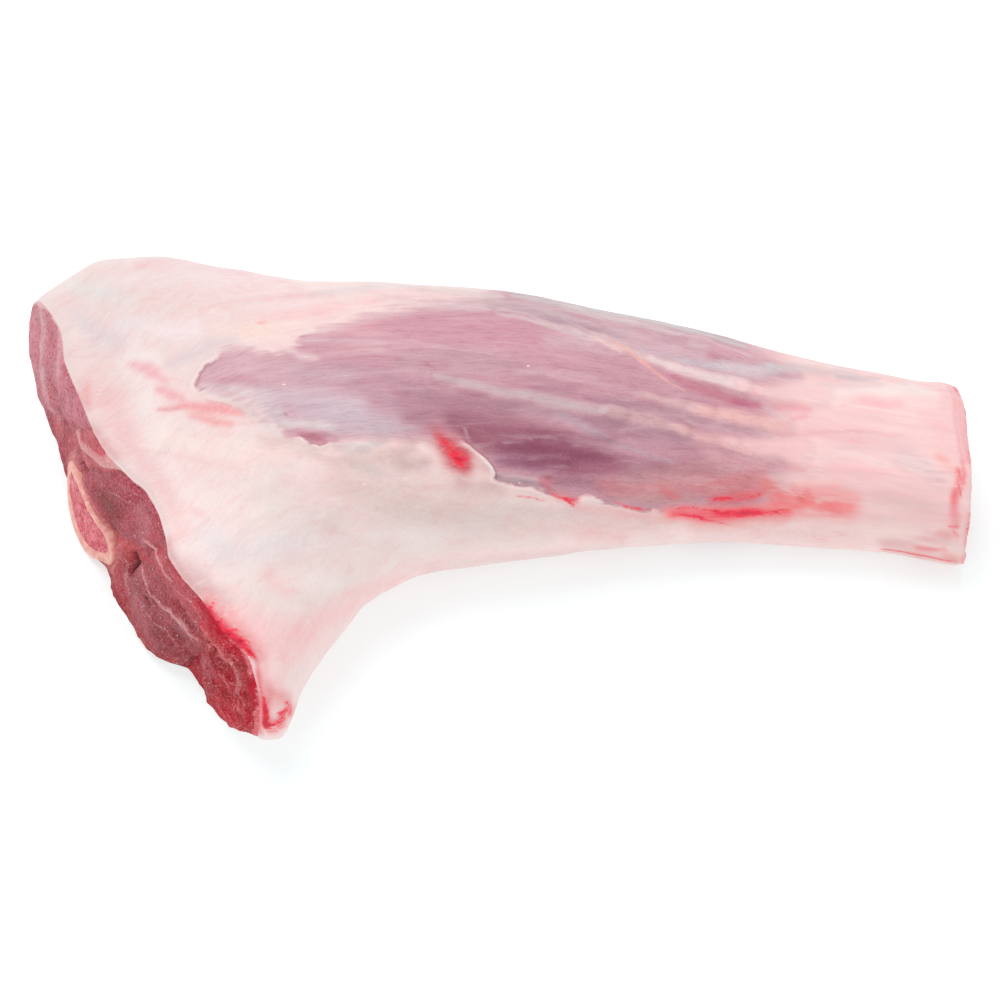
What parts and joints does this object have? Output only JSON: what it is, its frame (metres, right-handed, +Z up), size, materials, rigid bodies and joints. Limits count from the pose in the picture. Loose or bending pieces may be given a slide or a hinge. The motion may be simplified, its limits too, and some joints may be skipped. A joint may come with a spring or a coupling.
{
  "type": "raw lamb shank",
  "caption": "Raw lamb shank on the bone, lying on its side: broad sawn face of dark muscle round the bone, pale fat over the shoulder side, and a slim hock end.",
  "frame": {"origin": "on the surface that the shank lies on, below the middle of its bounding box", "axes": "+X from the sawn face to the hock end, +Y across the shank away from the viewer of the fat side, +Z up"},
  "size_m": [0.2294, 0.1285, 0.0495],
  "materials": {
    "meat": "moist raw lamb: pale fat and thin membrane over purple muscle, dark red where sawn",
    "bone": "raw bone, creamy pink rim round a red spongy core"
  },
  "bodies": {
    "root": {"meat": "meat", "bone": "bone"}
  },
  "joints": []
}
